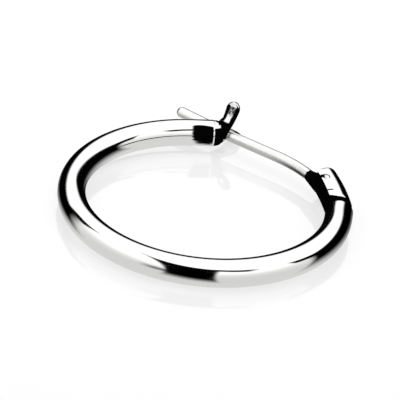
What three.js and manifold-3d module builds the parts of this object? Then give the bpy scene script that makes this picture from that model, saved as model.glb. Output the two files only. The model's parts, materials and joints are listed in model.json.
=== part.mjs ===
// A hinged hoop earring that lies on its side. Millimetres, +Z up.
// The pieces are drawn in the hoop's own plane, about the hoop's centre, and then laid on the floor.
import * as THREE from 'three';
import { mergeVertices } from 'three/addons/utils/BufferGeometryUtils.js';
import Module from 'manifold-3d';

const wasm = await Module();
wasm.setup();

// Hoop tube. Plan angles are in degrees, anticlockwise from +X as seen from above.
const hoopRadius = 9.4;
const tubeRadius = 0.98;
const tubeWall = 0.25;
const hingeEndAngle = 2;
const hingeStraight = 1.1;
const catchEndAngle = 89.2;
const endPlugHinge = 0.4;
const endPlugCatch = 0.8;
const endRounding = 0.14;
const ventRadius = 0.25;
const ventAngle = 99;

// Hinge housing: a rounded bar with two ears, on a neck at the tube's hinge end.
const housingHalf = 0.84;
const housingHalfWidth = 0.87;
const housingCorner = 0.38;
const housingStart = [9.43, 0.5];
const housingHeading = 98.8;
const housingLength = 4.44;
const housingTurn = 12.2;
const housingInnerRounding = 1.0;
const housingOuterRounding = 0.45;
const neckLength = 0.47;
const neckRadius = 0.83;
const neckSink = [0.4, 0.8];
const earAxisHeading = 108;
const slotDepth = 2.05;
const reliefSize = [0.12, 0.5, 0.14];
const reliefPlace = [8.66, 1.8];

// Hinge pin and the wire's eyed tongue
const pinPlace = [8.382, 3.617];
const pinRadius = 0.28;
const pinSeatGap = 0.02;
const pinRunningGap = 0.04;
const tongueThickness = 0.66;
const tongueSideGap = 0.06;
const eyeRadius = 0.8;
const tongueReach = 1.71;
const tongueHeel = [0.41, 0.95];

// Ear wire
const wireRadius = 0.4;
const wireRoot = [7.238, 4.935];
const wireHeading = 128;
const wireLegs = [[3.2, 19.5], [3.2, 0], [1.6, -3.9], [4.2, 0]];

// Saddle catch: a V of strip round the wire, open outwards
const catchPlace = [1.41, 9.362];
const catchHeading = 144.5;
const stripThickness = 0.42;
const valleyRadius = 0.45;
const leafFoot = 0.2;
const ridge = { outwards: [-1.2, -0.2], upwards: [-0.5, 1.2], along: [0.2, 1.1] };
const lowerBase = { outwards: [-1.2, 0.3], upwards: [-1.2, -0.2], along: [0.8, 1.64] };
const upperLeaf = {
  slope: 40, length: 2.2, turn: 28, base: 0.38, tip: 0.58, baseHalf: 0.34, tipHalf: 0.48,
};
const lowerLeaf = {
  slope: 8, length: 2.2, turn: -48, base: 1.22, tip: 1.05, baseHalf: 0.42, tipHalf: 0.66,
};
const rootHeading = -28;
const rootLength = 0.95;
const rootRadii = [0.96, 0.52];
const rootOutwards = 0.3;

// Facet counts
const tubeSides = 24;
const tubeSteps = 90;
const boreSides = 12;
const boreSteps = 48;
const wireSides = 16;
const wireSteps = 36;
const roundSides = 24;
const shortSteps = 10;
const cornerSteps = 6;
const roundingSteps = 4;

// How far a cutting solid runs past what it cuts, and how far a joined piece is kept inside its neighbour
const past = 4;
const hair = 0.01;
// Degrees by which the two halves of the catch's strip overlap in the valley
const valleyOverlap = 4;

// The side of the hoop that the lower leaf holds off the floor, as a plan angle
const raisedSide = 83;

const rad = THREE.MathUtils.degToRad;

/** A level curve that starts at a point with a heading and bends evenly along each of its legs. */
class HeadingCurve extends THREE.Curve {
  constructor(start, heading, legs) {
    super();
    this.start = start;
    this.heading = rad(heading);
    this.legs = legs;
    this.total = legs.reduce((sum, [length]) => sum + length, 0);
  }

  getPoint(u, target = new THREE.Vector3()) {
    let left = u * this.total;
    let heading = this.heading;
    target.set(this.start[0], this.start[1], 0);
    for (const [length, turn] of this.legs) {
      const run = Math.min(left, length);
      const bend = rad(turn) * run / length;
      const chord = bend === 0 ? run : 2 * run * Math.sin(bend / 2) / bend;
      target.x += chord * Math.cos(heading + bend / 2);
      target.y += chord * Math.sin(heading + bend / 2);
      heading += bend;
      left -= run;
    }
    return target;
  }
}

function circle(radius, sides) {
  const shape = new THREE.Shape();
  for (let i = 0; i < sides; i += 1) {
    const angle = (2 * Math.PI * i) / sides;
    const x = radius * Math.cos(angle);
    const y = radius * Math.sin(angle);
    if (i === 0) shape.moveTo(x, y);
    else shape.lineTo(x, y);
  }
  shape.closePath();
  return shape;
}

function roundedBox(halfX, halfY, corner) {
  const shape = new THREE.Shape();
  const x = halfX - corner;
  const y = halfY - corner;
  shape.moveTo(x, -halfY);
  shape.absarc(x, -y, corner, -Math.PI / 2, 0);
  shape.absarc(x, y, corner, 0, Math.PI / 2);
  shape.absarc(-x, y, corner, Math.PI / 2, Math.PI);
  shape.absarc(-x, -y, corner, Math.PI, 1.5 * Math.PI);
  return shape;
}

function solid(geometry) {
  const bare = geometry.clone();
  bare.deleteAttribute('normal');
  bare.deleteAttribute('uv');
  const merged = mergeVertices(bare, 1e-5);
  return new wasm.Manifold(new wasm.Mesh({
    numProp: 3,
    vertProperties: new Float32Array(merged.attributes.position.array),
    triVerts: new Uint32Array(merged.index.array),
  }));
}

function geometryOf(manifold) {
  const mesh = manifold.getMesh();
  const geometry = new THREE.BufferGeometry();
  geometry.setAttribute('position', new THREE.BufferAttribute(new Float32Array(mesh.vertProperties), 3));
  geometry.setIndex(new THREE.BufferAttribute(new Uint32Array(mesh.triVerts), 1));
  geometry.computeVertexNormals();
  return geometry;
}

function sweep(shape, curve, steps) {
  const options = { steps, extrudePath: curve, bevelEnabled: false, curveSegments: cornerSteps };
  return new THREE.ExtrudeGeometry(shape, options);
}

/** A shape drawn in plan and raised evenly above and below the hoop's plane. */
function plate(shape, thickness) {
  const options = { depth: thickness, bevelEnabled: false, curveSegments: shortSteps };
  return new THREE.ExtrudeGeometry(shape, options).translate(0, 0, -thickness / 2);
}

function uprightRod(radius, length, place) {
  return new THREE.CylinderGeometry(radius, radius, length, roundSides)
    .rotateX(Math.PI / 2)
    .translate(place[0], place[1], 0);
}

/** The frame at a plan point whose X runs along a heading and whose Z is up. */
function planFrame(place, heading) {
  return new THREE.Matrix4().makeRotationZ(rad(heading)).setPosition(place[0], place[1], 0);
}

/** The catch's frame: X outwards, Y up and Z along the wire, away from the hinge. */
function catchFrame() {
  const along = new THREE.Vector3(Math.cos(rad(catchHeading)), Math.sin(rad(catchHeading)), 0);
  const up = new THREE.Vector3(0, 0, 1);
  const outward = new THREE.Vector3().crossVectors(up, along).negate();
  return new THREE.Matrix4()
    .makeBasis(outward, up, along.negate())
    .setPosition(catchPlace[0], catchPlace[1], 0);
}

function pointOnHoop(angle) {
  return [hoopRadius * Math.cos(rad(angle)), hoopRadius * Math.sin(rad(angle))];
}

/** The tube's end at the hinge, where its last stretch leaves the circle straight. */
function hingeEnd() {
  const bendAngle = hingeEndAngle - THREE.MathUtils.radToDeg(hingeStraight / hoopRadius);
  const heading = bendAngle + 90;
  const [x, y] = pointOnHoop(bendAngle);
  const place = [x + hingeStraight * Math.cos(rad(heading)), y + hingeStraight * Math.sin(rad(heading))];
  return { bendAngle, heading, place };
}

/** The tube's centre line, from an inset at the hinge end round to a plan angle at the catch. */
function hoopCurve(inset, catchAngle) {
  const { bendAngle, heading, place } = hingeEnd();
  const start = [place[0] - inset * Math.cos(rad(heading)), place[1] - inset * Math.sin(rad(heading))];
  const round = bendAngle - catchAngle + 360;
  const legs = [[hingeStraight - inset, 0], [hoopRadius * rad(round), -round]];
  return new HeadingCurve(start, heading + 180, legs);
}

function tube() {
  const outer = solid(sweep(circle(tubeRadius, tubeSides), hoopCurve(endRounding, catchEndAngle), tubeSteps));
  return outer.add(solid(roundedTubeEnd()));
}

function bore() {
  const plugCatch = THREE.MathUtils.radToDeg(endPlugCatch / hoopRadius);
  const inner = solid(sweep(circle(tubeRadius - tubeWall, boreSides),
    hoopCurve(endPlugHinge, catchEndAngle + plugCatch), boreSteps));
  const vent = uprightRod(ventRadius, tubeRadius + tubeWall, pointOnHoop(ventAngle));
  return inner.add(solid(vent.translate(0, 0, -(tubeRadius + tubeWall) / 2)));
}

/** The last bit of tube at the hinge, its edge rounded over. */
function roundedTubeEnd() {
  const profile = [
    new THREE.Vector2(0, -2 * endRounding),
    new THREE.Vector2(tubeRadius - hair, -2 * endRounding),
  ];
  for (let i = 0; i <= roundingSteps; i += 1) {
    const angle = (Math.PI / 2) * (i / roundingSteps);
    profile.push(new THREE.Vector2(
      tubeRadius - endRounding + endRounding * Math.cos(angle),
      -endRounding + endRounding * Math.sin(angle),
    ));
  }
  profile.push(new THREE.Vector2(0, 0));
  const { heading, place } = hingeEnd();
  return new THREE.LatheGeometry(profile, tubeSides).applyMatrix4(planFrame(place, heading - 90));
}

function housingCurve(from, length) {
  const turn = housingTurn / housingLength;
  const whole = new HeadingCurve(housingStart, housingHeading, [[housingLength, housingTurn]]);
  const start = whole.getPoint(from / housingLength);
  return new HeadingCurve([start.x, start.y], housingHeading + turn * from, [[length, turn * length]]);
}

/** A block that covers everything on the tube's side of the housing's near end. */
function nearSide() {
  const { heading, place } = hingeEnd();
  return new THREE.BoxGeometry(past, past, past)
    .translate(neckLength - past / 2, 0, 0)
    .applyMatrix4(planFrame(place, heading));
}

/** The ears in plan, from their far end back; the inner corner is the rounder one. */
function earOutline(reach) {
  const half = housingHalfWidth;
  const shape = new THREE.Shape();
  shape.moveTo(-reach, -half);
  shape.lineTo(-housingOuterRounding, -half);
  shape.absarc(-housingOuterRounding, -half + housingOuterRounding, housingOuterRounding, -Math.PI / 2, 0);
  shape.absarc(-housingInnerRounding, half - housingInnerRounding, housingInnerRounding, 0, Math.PI / 2);
  shape.lineTo(-reach, 2 * half);
  return shape;
}

function housing() {
  const bar = solid(sweep(roundedBox(housingHalf, housingHalfWidth, housingCorner),
    housingCurve(0, housingLength), shortSteps));
  const farEnd = new HeadingCurve(housingStart, housingHeading, [[housingLength, housingTurn]]).getPoint(1);
  const rounded = plate(earOutline(housingLength + housingInnerRounding), past)
    .applyMatrix4(planFrame([farEnd.x, farEnd.y], housingHeading + housingTurn));
  const slotHeight = tongueThickness + 2 * tongueSideGap;
  const slot = new THREE.BoxGeometry(slotDepth + past, past, slotHeight)
    .translate((past - slotDepth) / 2, 0, 0)
    .applyMatrix4(planFrame([farEnd.x, farEnd.y], earAxisHeading));
  const relief = new THREE.BoxGeometry(...reliefSize)
    .applyMatrix4(planFrame(reliefPlace, earAxisHeading))
    .translate(0, 0, housingHalf);
  const [back, ahead] = neckSink;
  const neck = solid(sweep(circle(neckRadius, tubeSides), housingCurve(-back, back + ahead), shortSteps));
  const pinHole = solid(uprightRod(pinRadius + pinSeatGap, past, pinPlace));
  return bar.intersect(solid(rounded))
    .subtract(solid(nearSide()))
    .add(neck)
    .subtract(solid(slot))
    .subtract(solid(relief))
    .subtract(pinHole);
}

/** Half of the catch's strip, from the middle of the valley to a leaf's tip, in the catch's frame. */
function strip(leaf, side) {
  const middle = valleyRadius + stripThickness / 2;
  const bend = side > 0 ? 90 - leaf.slope : 90 + leaf.slope;
  const start = side * valleyOverlap;
  const round = bend + valleyOverlap;
  const curve = new HeadingCurve(
    [-middle * Math.cos(rad(start)), -middle * Math.sin(rad(start))],
    side * 90 + start,
    [[middle * rad(round), -side * round], [leaf.length, leaf.turn]],
  );
  const section = new THREE.Shape();
  section.moveTo(-past, -stripThickness / 2);
  section.lineTo(past, -stripThickness / 2);
  section.lineTo(past, stripThickness / 2);
  section.lineTo(-past, stripThickness / 2);
  return sweep(section, curve, 2 * shortSteps);
}

/** A leaf's outline seen square on: across is along the wire and reach is from the valley to the tip. */
function leafOutline(leaf, reach) {
  const outline = new THREE.Shape();
  const shoulder = reach - leaf.tipHalf;
  outline.moveTo(leaf.base + leaf.baseHalf, -leafFoot);
  outline.lineTo(leaf.tip + leaf.tipHalf, shoulder);
  outline.absarc(leaf.tip, shoulder, leaf.tipHalf, 0, Math.PI);
  outline.lineTo(leaf.base - leaf.baseHalf, -leafFoot);
  return outline;
}

/** A box between limits outwards, upwards and along the wire, in the catch's frame. */
function trimBox({ outwards, upwards, along }) {
  const middle = ([low, high]) => (low + high) / 2;
  const span = ([low, high]) => high - low;
  return new THREE.BoxGeometry(span(outwards), span(upwards), span(along))
    .translate(middle(outwards), middle(upwards), -middle(along));
}

function saddle() {
  const upper = solid(strip(upperLeaf, 1));
  const lower = solid(strip(lowerLeaf, -1));
  const upperBox = upper.boundingBox();
  const lowerBox = lower.boundingBox();
  const turnAcross = new THREE.Matrix4().makeBasis(
    new THREE.Vector3(0, 0, -1), new THREE.Vector3(0, 1, 0), new THREE.Vector3(1, 0, 0));
  const turnOutward = new THREE.Matrix4().makeBasis(
    new THREE.Vector3(0, 0, -1), new THREE.Vector3(1, 0, 0), new THREE.Vector3(0, -1, 0));
  const upperTrim = plate(leafOutline(upperLeaf, upperBox.max[1]), 2 * past).applyMatrix4(turnAcross);
  const lowerTrim = plate(leafOutline(lowerLeaf, lowerBox.max[0]), 2 * past).applyMatrix4(turnOutward);
  const band = upper.add(lower);
  return upper.intersect(solid(upperTrim))
    .add(lower.intersect(solid(lowerTrim)))
    .add(band.intersect(solid(trimBox(ridge))))
    .add(band.intersect(solid(trimBox(lowerBase))));
}

/** The blunt taper that carries the catch from the tube's end. */
function catchRoot() {
  const [wide, narrow] = rootRadii;
  const profile = [new THREE.Vector2(0, -wide)];
  for (let i = 0; i <= shortSteps; i += 1) {
    const angle = (Math.PI / 2) * (i / shortSteps);
    profile.push(new THREE.Vector2(wide * Math.sin(angle), -wide * Math.cos(angle)));
  }
  for (let i = 1; i <= shortSteps; i += 1) {
    const part = i / shortSteps;
    profile.push(new THREE.Vector2(wide - (wide - narrow) * part ** 2, rootLength * part));
  }
  profile.push(new THREE.Vector2(0, rootLength));
  return new THREE.LatheGeometry(profile, tubeSides)
    .applyMatrix4(planFrame(pointOnHoop(catchEndAngle), rootHeading - 90));
}

function wireCurve() {
  return new HeadingCurve(wireRoot, wireHeading, wireLegs);
}

/** The room that the wire lies in at the catch, and the way that it swings out of there. */
function wireWay() {
  const lies = sweep(circle(valleyRadius, roundSides), wireCurve(), wireSteps);
  const mouth = new THREE.BoxGeometry(past, 2 * valleyRadius, 2 * past).translate(past / 2, 0, 0);
  const atCatch = new THREE.BoxGeometry(2 * past, 2 * past, 2 * past).applyMatrix4(catchFrame());
  return solid(lies).intersect(solid(atCatch)).add(solid(mouth.applyMatrix4(catchFrame())));
}

function inFrame(manifold, matrix) {
  return solid(geometryOf(manifold).applyMatrix4(matrix));
}

function hoop() {
  const frame = catchFrame();
  const outerSide = new THREE.BoxGeometry(past, past, 2 * past)
    .translate(past / 2 - rootOutwards, 0, 0)
    .applyMatrix4(frame);
  const root = solid(catchRoot()).subtract(solid(outerSide));
  return tube()
    .add(root)
    .add(inFrame(saddle(), frame))
    .subtract(wireWay())
    .add(housing())
    .subtract(bore());
}

/** Where a line from a point touches the eye: side 1 is its left as seen from the pin. */
function touchOfEye(point, side) {
  const turn = Math.acos(eyeRadius / point.length()) * side;
  return point.clone().setLength(eyeRadius).rotateAround(new THREE.Vector2(), turn);
}

/** The flat end of the wire: an eye on the pin and a tongue that narrows to the wire. */
function tongue() {
  const [outerSide, innerSide] = tongueHeel;
  const outer = new THREE.Vector2(tongueReach, outerSide);
  const inner = new THREE.Vector2(tongueReach, innerSide);
  const outline = new THREE.Shape([touchOfEye(outer, -1), outer, inner, touchOfEye(inner, 1)]);
  const flat = plate(outline, tongueThickness).applyMatrix4(planFrame(pinPlace, earAxisHeading));
  return solid(flat).add(solid(uprightRod(eyeRadius, tongueThickness, pinPlace)));
}

function earWire() {
  const rod = solid(sweep(circle(wireRadius, wireSides), wireCurve(), wireSteps));
  const tip = wireCurve().getPoint(1);
  const ball = new THREE.SphereGeometry(wireRadius - hair, wireSides, shortSteps).translate(tip.x, tip.y, 0);
  const runningHole = solid(uprightRod(pinRadius + pinRunningGap, past, pinPlace));
  return rod.add(solid(ball)).add(tongue()).subtract(runningHole);
}

function hingePin() {
  return uprightRod(pinRadius, 2 * housingHalf, pinPlace);
}

const silver = { color: 0xe4e2dc, roughness: 0.12, metalness: 1 };

function mesh(name, geometry) {
  const made = new THREE.Mesh(geometry, new THREE.MeshStandardMaterial(silver));
  made.name = name;
  return made;
}

function lowest(points, isCounted) {
  let level = Infinity;
  for (const point of points) {
    if (isCounted(point)) level = Math.min(level, point.z);
  }
  return level;
}

/** The tilt at which the lower leaf and the far side of the tube both touch the floor, by halving. */
function restingTilt(geometry) {
  const steepestTilt = rad(10);
  const halvings = 40;
  const position = geometry.attributes.position;
  const points = [];
  for (let i = 0; i < position.count; i += 1) {
    points.push(new THREE.Vector3().fromBufferAttribute(position, i));
  }
  const raised = new THREE.Vector3(Math.cos(rad(raisedSide)), Math.sin(rad(raisedSide)), 0);
  const axis = new THREE.Vector3(raised.y, -raised.x, 0);
  let low = 0;
  let high = steepestTilt;
  for (let i = 0; i < halvings; i += 1) {
    const tilt = (low + high) / 2;
    const turned = points.map((point) => ({
      z: point.clone().applyAxisAngle(axis, tilt).z,
      isRaised: point.dot(raised) > 0,
    }));
    const gap = lowest(turned, (p) => p.isRaised) - lowest(turned, (p) => !p.isRaised);
    if (gap < 0) low = tilt;
    else high = tilt;
  }
  return { axis, tilt: (low + high) / 2 };
}

const hoopGeometry = geometryOf(hoop());
const { axis, tilt } = restingTilt(hoopGeometry);

const earring = new THREE.Group();
earring.name = 'earring';
earring.add(mesh('hoop', hoopGeometry));
earring.add(mesh('hinge_pin', hingePin()));
earring.add(mesh('ear_wire', geometryOf(earWire())));
earring.quaternion.setFromAxisAngle(axis, tilt);
earring.updateMatrixWorld(true);

const box = new THREE.Box3().setFromObject(earring, true);
earring.position.set(-(box.min.x + box.max.x) / 2, -(box.min.y + box.max.y) / 2, -box.min.z);

const part = new THREE.Group();
part.name = 'hoop_earring';
part.add(earring);

export default part;
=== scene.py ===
"""A small hinged hoop earring of polished silver that lies on a white table.

Everything is drawn in millimetres in the plane of the hoop, about the hoop's centre, and is then
laid into the frame by the place and the axis of the hinge.
"""

import json
import logging
import math
from dataclasses import dataclass
from enum import Enum
from typing import Any, Callable, Optional, Sequence

import bmesh
import bpy
from bmesh.types import BMEdge, BMesh, BMFace, BMVert
from mathutils import Matrix, Vector


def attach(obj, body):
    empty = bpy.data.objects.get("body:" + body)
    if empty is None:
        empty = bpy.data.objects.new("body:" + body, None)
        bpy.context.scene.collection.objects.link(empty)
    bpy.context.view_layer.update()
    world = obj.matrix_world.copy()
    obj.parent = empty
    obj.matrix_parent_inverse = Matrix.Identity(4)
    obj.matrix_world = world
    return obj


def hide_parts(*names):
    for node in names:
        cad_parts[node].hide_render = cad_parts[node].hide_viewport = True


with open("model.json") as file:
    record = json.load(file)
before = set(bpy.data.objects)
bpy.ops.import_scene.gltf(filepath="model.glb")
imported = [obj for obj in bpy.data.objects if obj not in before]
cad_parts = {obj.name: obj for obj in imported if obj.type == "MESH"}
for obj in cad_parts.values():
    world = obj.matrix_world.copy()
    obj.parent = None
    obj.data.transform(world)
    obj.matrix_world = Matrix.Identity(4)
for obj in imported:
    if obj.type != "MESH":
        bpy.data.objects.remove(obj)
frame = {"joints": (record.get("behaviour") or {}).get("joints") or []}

log = logging.getLogger("hoop_earring")
logging.basicConfig(level=logging.INFO, format="%(name)s: %(message)s")

Point = tuple[float, float]

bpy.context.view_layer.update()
MILLIMETRE = 0.001

# Where the rivet stands in the hoop's plane, in millimetres from the hoop's centre.
PIN_PLACE: Point = (8.382, 3.617)
# Two points that are closer than this are one, in millimetres.
TOUCHING = 1e-4
# How near a point may be to a slicing plane and still count as on it, in millimetres.
ON_PLANE = 1e-5
# A turn that is smaller than this is no turn.
NO_TURN = 1e-9
# How many sides a drilled hole has, and what fits into it.
HOLE_SIDES = 48
# How wide a cut edge is broken, in millimetres, and with how many facets.
EDGE_BREAK = 0.05
EDGE_FACETS = 3


class Body(Enum):
    """The two bodies of the earring."""

    HOOP = "hoop_body"
    WIRE = "ear_wire_body"


class Slot(Enum):
    """The record's material slots."""

    SILVER = "silver"
    PIN = "pin"
    WIRE = "wire"


class Edges(Enum):
    """How a piece is shaded: soft all over, or crisp where its faces meet at an angle."""

    SOFT = math.radians(180)
    CRISP = math.radians(32)


# ---------------------------------------------------------------------------------------------
# Drawing in the hoop's plane


def plan_frame(place: Point, heading: float) -> Matrix:
    """The frame at a place in the hoop's plane whose X axis points along a heading in degrees."""
    return Matrix.Translation((*place, 0.0)) @ Matrix.Rotation(math.radians(heading), 4, "Z")


def along(place: Point, heading: float, distance: float) -> Point:
    """The point that lies a distance away along a heading in degrees."""
    angle = math.radians(heading)
    return place[0] + distance * math.cos(angle), place[1] + distance * math.sin(angle)


@dataclass(frozen=True)
class Leg:
    """One stretch of a bent path, which turns evenly over its length.

    Attributes:
        length: Its length in millimetres.
        turn: How far it turns to the left, in degrees.
    """

    length: float
    turn: float = 0.0


@dataclass(frozen=True)
class BentPath:
    """A path in a plane that is made of evenly bent legs.

    Attributes:
        start: Where it starts, in millimetres.
        heading: Which way it starts, in degrees.
        legs: Its legs in order.
    """

    start: Point
    heading: float
    legs: tuple[Leg, ...]

    @property
    def length(self) -> float:
        """The whole length in millimetres."""
        return sum(leg.length for leg in self.legs)

    def at(self, distance: float) -> tuple[Point, float]:
        """Where the path is after a distance.

        Args:
            distance: How far along the path, in millimetres. Past an end it runs on straight.

        Returns:
            The point and the heading there, in degrees.
        """
        place, heading = self.start, self.heading
        left = distance
        for number, leg in enumerate(self.legs):
            is_last = number == len(self.legs) - 1
            run = min(left, leg.length)
            bend = leg.turn * run / leg.length
            half = math.radians(bend) / 2
            chord = run if abs(half) < NO_TURN else run * math.sin(half) / half
            place = along(place, heading + bend / 2, chord)
            heading += bend
            left -= run
            if left <= 0 or is_last:
                break
        return along(place, heading, max(left, 0.0)), heading

    def frame_at(self, distance: float) -> Matrix:
        """The frame at a distance, with X along the path and Z across its plane."""
        place, heading = self.at(distance)
        return plan_frame(place, heading)


# ---------------------------------------------------------------------------------------------
# The bench: from a bmesh to a finished object


@dataclass(frozen=True)
class Lay:
    """How the hoop's plane lies in the frame, taken from the hinge's place and axis.

    Attributes:
        pin: Where the hinge's axis goes through the hoop's plane, in millimetres.
    """

    pin: Point = PIN_PLACE

    @property
    def matrix(self) -> Matrix:
        """Works out how a drawn piece is laid down.

        Returns:
            The matrix from millimetres in the hoop's plane to metres in the frame.
        """
        hinge = frame["joints"][0]
        normal = -Vector(hinge["axis"]).normalized()
        turn = Vector((0, 0, 1)).rotation_difference(normal).to_matrix().to_4x4()
        pin = turn @ (Vector((*self.pin, 0.0)) * MILLIMETRE)
        place = Matrix.Translation(Vector(hinge["pos_m"]) - pin)
        return place @ turn @ Matrix.Scale(MILLIMETRE, 4)


LAY = Lay().matrix


def object_from(bm: BMesh, name: str) -> bpy.types.Object:
    """Makes a scene object of a bmesh.

    Args:
        bm: The shape. It is used up.
        name: The object's name.

    Returns:
        The new object, linked into the scene.
    """
    mesh = bpy.data.meshes.new(name)
    bm.to_mesh(mesh)
    bm.free()
    made = bpy.data.objects.new(name, mesh)
    bpy.context.scene.collection.objects.link(made)
    return made


def gather(shells: Sequence[BMesh]) -> BMesh:
    """Puts several closed shells, which may overlap, side by side.

    Args:
        shells: The shells. They are used up.

    Returns:
        One bmesh with all of them.
    """
    whole = bmesh.new()
    for shell in shells:
        mesh = bpy.data.meshes.new("shell")
        shell.to_mesh(mesh)
        shell.free()
        whole.from_mesh(mesh)
        bpy.data.meshes.remove(mesh)
    return whole


def add_shells(piece: bpy.types.Object, shells: Sequence[BMesh]) -> None:
    """Puts closed shells, which may overlap, beside what a piece has already.

    Args:
        piece: The object to add to.
        shells: The shells. They are used up.
    """
    own = bmesh.new()
    own.from_mesh(piece.data)
    whole = gather((own, *shells))
    whole.to_mesh(piece.data)
    whole.free()


def bake_modifiers(piece: bpy.types.Object) -> None:
    """Puts what an object's modifiers make into its mesh, and takes the modifiers off.

    Args:
        piece: The object to work on.
    """
    graph = bpy.context.evaluated_depsgraph_get()
    made = bpy.data.meshes.new_from_object(piece.evaluated_get(graph))
    worn = piece.data
    piece.modifiers.clear()
    piece.data = made
    bpy.data.meshes.remove(worn)


def combine(piece: bpy.types.Object, tool: BMesh, how: str) -> None:
    """Cuts or joins a piece with another closed shape.

    Args:
        piece: The object to work on.
        tool: The other shape, in the piece's own units. It is used up.
        how: The Boolean modifier's operation: DIFFERENCE, UNION or INTERSECT.
    """
    cutter = object_from(tool, piece.name + "_tool")
    modifier = piece.modifiers.new("cut", "BOOLEAN")
    modifier.operation = how
    modifier.solver = "EXACT"
    modifier.object = cutter
    bake_modifiers(piece)
    bpy.data.meshes.remove(cutter.data)


def remesh(piece: bpy.types.Object, voxel: float) -> None:
    """Makes one even skin of a piece's overlapping shells.

    Args:
        piece: The object to work on.
        voxel: The skin's mesh size in millimetres.
    """
    modifier = piece.modifiers.new("skin", "REMESH")
    modifier.mode = "VOXEL"
    modifier.voxel_size = voxel
    modifier.use_smooth_shade = True
    bake_modifiers(piece)


def relax(piece: bpy.types.Object, rounds: int, factor: float) -> None:
    """Rubs a skin down, as tumbling rounds the edges of a casting.

    Args:
        piece: The object to work on.
        rounds: How many times it is rubbed.
        factor: How far each vertex goes towards its neighbours' middle.
    """
    bm = bmesh.new()
    bm.from_mesh(piece.data)
    for _ in range(rounds):
        bmesh.ops.smooth_vert(bm, verts=bm.verts, factor=factor,
                              use_axis_x=True, use_axis_y=True, use_axis_z=True)
    bm.to_mesh(piece.data)
    bm.free()


def soften_edges(piece: bpy.types.Object) -> None:
    """Breaks the sharp edges of a piece with a narrow bevel.

    Args:
        piece: The object to work on.
    """
    modifier = piece.modifiers.new("edge", "BEVEL")
    modifier.width = EDGE_BREAK
    modifier.segments = EDGE_FACETS
    modifier.limit_method = "ANGLE"
    modifier.angle_limit = Edges.CRISP.value
    modifier.use_clamp_overlap = True
    bake_modifiers(piece)


def clean(bm: BMesh) -> None:
    """Merges a shape's doubles, closes its open ends and points its faces outwards.

    Args:
        bm: The shape to work on.
    """
    bmesh.ops.remove_doubles(bm, verts=bm.verts, dist=TOUCHING)
    open_edges = [edge for edge in bm.edges if edge.is_boundary]
    bmesh.ops.holes_fill(bm, edges=open_edges, sides=0)
    bmesh.ops.recalc_face_normals(bm, faces=bm.faces)


def move_all(bm: BMesh, matrix: Matrix) -> None:
    """Moves a whole bmesh by a matrix."""
    bmesh.ops.transform(bm, matrix=matrix, verts=bm.verts)


def bend_along(bm: BMesh, path: BentPath) -> None:
    """Bends a straight shape whose X runs along a path from its start."""
    for vert in bm.verts:
        vert.co = path.frame_at(vert.co.x) @ Vector((0.0, vert.co.y, vert.co.z))


def rod(radius: float, length: float, sides: int) -> BMesh:
    """Makes an upright round rod about the origin.

    Args:
        radius: Its radius in millimetres.
        length: Its length in millimetres.
        sides: How many sides it has.

    Returns:
        The closed rod.
    """
    bm = bmesh.new()
    bmesh.ops.create_cone(bm, cap_ends=True, segments=sides, radius1=radius, radius2=radius, depth=length)
    return bm


def block(size: Sequence[float], centre: Sequence[float]) -> BMesh:
    """Makes a box.

    Args:
        size: Its three sizes in millimetres.
        centre: Where its middle is.

    Returns:
        The closed box.
    """
    bm = bmesh.new()
    bmesh.ops.create_cube(bm, size=1.0)
    bmesh.ops.scale(bm, vec=size, verts=bm.verts)
    bmesh.ops.translate(bm, vec=centre, verts=bm.verts)
    return bm


def bevel(bm: BMesh, edges: Sequence[BMEdge], offset: float, facets: int) -> None:
    """Rounds edges over with an even curve of a width in millimetres."""
    bmesh.ops.bevel(bm, geom=list(edges), offset=offset, offset_type="OFFSET", segments=facets,
                    profile=0.5, affect="EDGES", material=-1, clamp_overlap=False)


def slice_evenly(bm: BMesh, axis: int, low: float, high: float, parts: int) -> None:
    """Cuts a shape's skin across an axis at even steps, so that it can bend.

    Args:
        bm: The shape to work on.
        axis: The axis that the cuts follow one another along: 0 for X, 1 for Y.
        low: Where the first part starts, in millimetres.
        high: Where the last part ends.
        parts: How many parts there are between the two.
    """
    normal = Vector((0.0, 0.0, 0.0))
    normal[axis] = 1.0
    for step in range(1, parts):
        place = low + (high - low) * step / parts
        bmesh.ops.bisect_plane(bm, geom=bm.verts[:] + bm.edges[:] + bm.faces[:], dist=ON_PLANE,
                               plane_co=normal * place, plane_no=normal)


def pull(bm: BMesh, faces: Sequence[BMFace], ahead: Sequence[float]) -> tuple[list[BMFace], list[BMVert]]:
    """Pulls an end face out and moves what came of it.

    Args:
        bm: The shape to work on.
        faces: The end face.
        ahead: How far it is pulled, in millimetres.

    Returns:
        The new end face and its vertices.
    """
    pulled = bmesh.ops.extrude_face_region(bm, geom=list(faces))["geom"]
    verts = [part for part in pulled if isinstance(part, BMVert)]
    bmesh.ops.translate(bm, vec=ahead, verts=verts)
    return [part for part in pulled if isinstance(part, BMFace)], verts


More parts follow.
